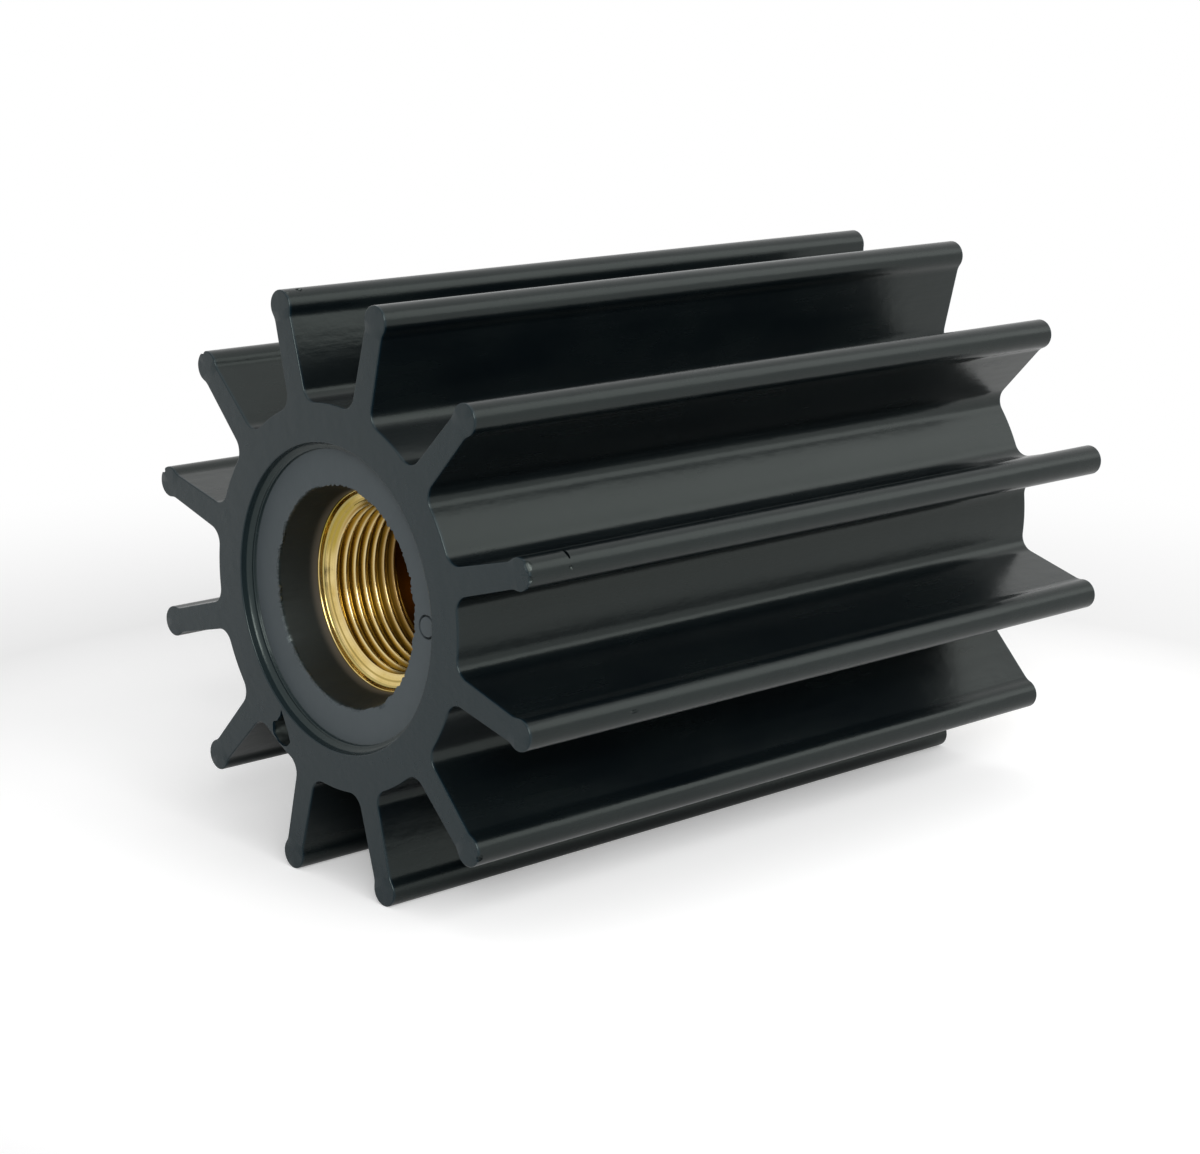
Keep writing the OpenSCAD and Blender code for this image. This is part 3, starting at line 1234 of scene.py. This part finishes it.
def brass_masks(tree, place, spot):
    """Where the parts of the bore lie that have a look of their own."""
    mark_r = THREAD_MAJOR_R + 0.2 * MM
    foot_r = MOUTH_R - RIM_W - MOUTH_DRAFT
    masks = {"stain": ramp(tree, distance(tree, place, STAIN_CENTRE), STAIN_OUTSIDE, STAIN_INSIDE)}
    masks["tool mark"] = overlap(
        tree,
        ramp(tree, spot["Radius"], mark_r - 0.25 * MM, mark_r - 0.05 * MM),
        ramp(tree, spot["Radius"], mark_r + 0.25 * MM, mark_r + 0.05 * MM),
    )
    # Painted shade: the inside corner at the foot of the mouth's wall.
    masks["wall foot shade"] = overlap(
        tree,
        ramp(tree, spot["Radius"], foot_r - 0.45 * MM, foot_r - 0.30 * MM),
        ramp(tree, spot["Radius"], foot_r + 0.05 * MM, foot_r - 0.05 * MM),
    )
    masks["behind the mouth"] = ramp(tree, spot["Depth"], THREAD_TOP - 0.3 * MM, THREAD_TOP + 0.1 * MM)
    # Partly tarnish and partly painted shade: dark brown valleys in the thread, which are rougher too.
    masks["thread"] = overlap(
        tree,
        ramp(tree, spot["Radius"], THREAD_R + 0.03 * MM, THREAD_R + 0.50 * MM),
        ramp(tree, spot["Depth"], THREAD_TOP - 0.2 * MM, THREAD_TOP + 0.1 * MM),
    )
    along = tree.nodes.new("ShaderNodeSeparateXYZ")
    feed(tree, along.inputs[0], place)
    # Painted shade: the far end of the thread and the relief, which are rougher too.
    masks["far end shade"] = overlap(
        tree,
        ramp(tree, along.outputs["Y"], THREAD_END - 7.0 * MM, THREAD_END + 1.0 * MM),
        ramp(tree, along.outputs["Y"], RELIEF_END + 3.0 * MM, RELIEF_END + 1.0 * MM),
    )
    return masks


def brass_finish():
    """Yellow brass with tool rings, browned in clouds and in the thread, with painted shade in the thread,
    at its far end and at the foot of the mouth's wall.
    """
    material, tree, shader = new_finish("turned_brass")
    place = object_place(tree)
    spot = use_group(tree, turned_place, Vector=place)
    masks = brass_masks(tree, place, spot)
    tarnish = cloud(tree, place, scale=160.0, stretch=1.0, detail=4.0, contrast=1.5)
    rings = cloud(tree, spot["Rings"], scale=2600.0, stretch=1.0, detail=3.0, contrast=1.3)

    colour = blend(tree, tarnish, BRIGHT_BRASS, TARNISHED_BRASS)
    feed(tree, shader.inputs["Base Color"], paint(tree, colour, masks, BRASS_PARTS))
    shader.inputs["Metallic"].default_value = 1.0
    rough = BRASS_ROUGH
    for mask, amount in ((tarnish, 0.08), (masks["thread"], 0.10), (masks["far end shade"], 0.15)):
        rough = add_share(tree, rough, mask, amount)
    feed(tree, shader.inputs["Roughness"], rough)
    bump(tree, shader, rings, BRASS_BUMP)
    return material


brass_look = brass_finish()
print(brass_look.name, "has", len(brass_look.node_tree.nodes), "nodes")

# %% Give each piece its finish
for piece, look in ((vanes, rubber_look), (bush, brass_look)):
    piece.data.materials.clear()
    piece.data.materials.append(look)
    print(piece.name, "is", look.name)

# %% [markdown]
# ## Put the pieces on the frame
#
# Each mesh takes the place of one solid of the frame and rides on the only body.

# %% Put the pieces on the frame
for piece, node, slot in ((vanes, "vane_body", "rubber"), (bush, "brass_bush", "brass")):
    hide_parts(node)
    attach(piece, "root")
    print(piece.name, "replaces", node, "and fills the slot", slot)

# %% [markdown]
# ## Floor and light
#
# The photograph has a plain white ground. A white world shows as the backdrop
# and in the gloss, and lights the rubber only as a grey sky. The floor keeps
# the soft shadow below the tips and fades to plain white further out. Soft
# lamps stand at the side, the top, the back and by the camera, and a small
# one by the camera gives the brass its sparkle.

# %% Floor and light
SKY_LIGHT = 0.45
NEAR_FLOOR = 0.85
NEAR_GLOW = 0.26
FADE_START = 0.10
FADE_END = 0.32
FLOOR_HALF = 6.0
# Name, place, size in metres, and power in watts
LAMPS = (
    ("side", (1.3, -0.1, 0.8), 0.9, 10.0),
    ("top", (0.2, 0.1, 1.4), 1.0, 3.0),
    ("back", (0.8, 0.9, 0.75), 0.8, 2.4),
    ("camera", (0.83, -0.72, 0.48), 0.6, 7.0),
    ("spark", (0.83, -0.72, 0.48), 0.12, 1.8),
)


def lamp(name, place, size, power):
    """A soft square lamp that looks at the impeller."""
    data = bpy.data.lights.new(name, "AREA")
    data.shape = "SQUARE"
    data.size = size
    data.energy = power
    light = bpy.data.objects.new(name, data)
    light.location = place
    light.rotation_mode = "QUATERNION"
    light.rotation_quaternion = (-Vector(place)).to_track_quat("-Z", "Y")
    bpy.context.scene.collection.objects.link(light)
    return light


def camera_rays(tree):
    """1 for the rays that come straight from the camera."""
    return tree.nodes.new("ShaderNodeLightPath").outputs["Is Camera Ray"]


def backdrop_rays(tree):
    """1 for the rays that show the backdrop: from the camera, or by way of gloss or glass."""
    path = tree.nodes.new("ShaderNodeLightPath").outputs
    by_way = calculate(tree, "MAXIMUM", path["Is Glossy Ray"], path["Is Transmission Ray"])
    return calculate(tree, "MAXIMUM", camera_rays(tree), by_way)


def white_world():
    """A grey sky that lights the object, and that shows white as a backdrop."""
    world = bpy.data.worlds.new("studio")
    world.use_nodes = True
    tree = world.node_tree
    sky = tree.nodes["Background"]
    sky.inputs["Color"].default_value = (1, 1, 1, 1)
    strength = calculate(tree, "MULTIPLY_ADD", backdrop_rays(tree), 1.0 - SKY_LIGHT, SKY_LIGHT)
    feed(tree, sky.inputs["Strength"], strength)
    bpy.context.scene.world = world


def make_floor():
    """A wide pale floor under the two lowest vane tips, which fades to plain white further out."""
    bm = bmesh.new()
    bmesh.ops.create_grid(bm, x_segments=1, y_segments=1, size=FLOOR_HALF)
    bmesh.ops.translate(bm, vec=(0, 0, vane_low.z), verts=bm.verts)
    floor = add_piece("floor", bm)
    material, tree, shader = new_finish("floor")
    away = tree.nodes.new("ShaderNodeVectorMath")
    away.operation = "LENGTH"
    feed(tree, away.inputs[0], object_place(tree))
    far = ramp(tree, away.outputs["Value"], FADE_START, FADE_END)
    near_colour = (NEAR_FLOOR, NEAR_FLOOR, NEAR_FLOOR, 1)
    feed(tree, shader.inputs["Base Color"], blend(tree, far, near_colour, (0, 0, 0, 1)))
    shader.inputs["Roughness"].default_value = 0.9
    shader.inputs["Specular IOR Level"].default_value = 0.0
    shader.inputs["Emission Color"].default_value = (1, 1, 1, 1)
    far_glow = calculate(tree, "MULTIPLY", backdrop_rays(tree), far)
    near_glow = calculate(tree, "MULTIPLY", camera_rays(tree), NEAR_GLOW)
    feed(tree, shader.inputs["Emission Strength"], calculate(tree, "MAXIMUM", far_glow, near_glow))
    floor.data.materials.append(material)


make_floor()
white_world()
for name, place, size, power in LAMPS:
    lamp(name, place, size, power)
    print(name, "lamp:", power, "W")
bpy.context.scene.view_settings.view_transform = "Standard"
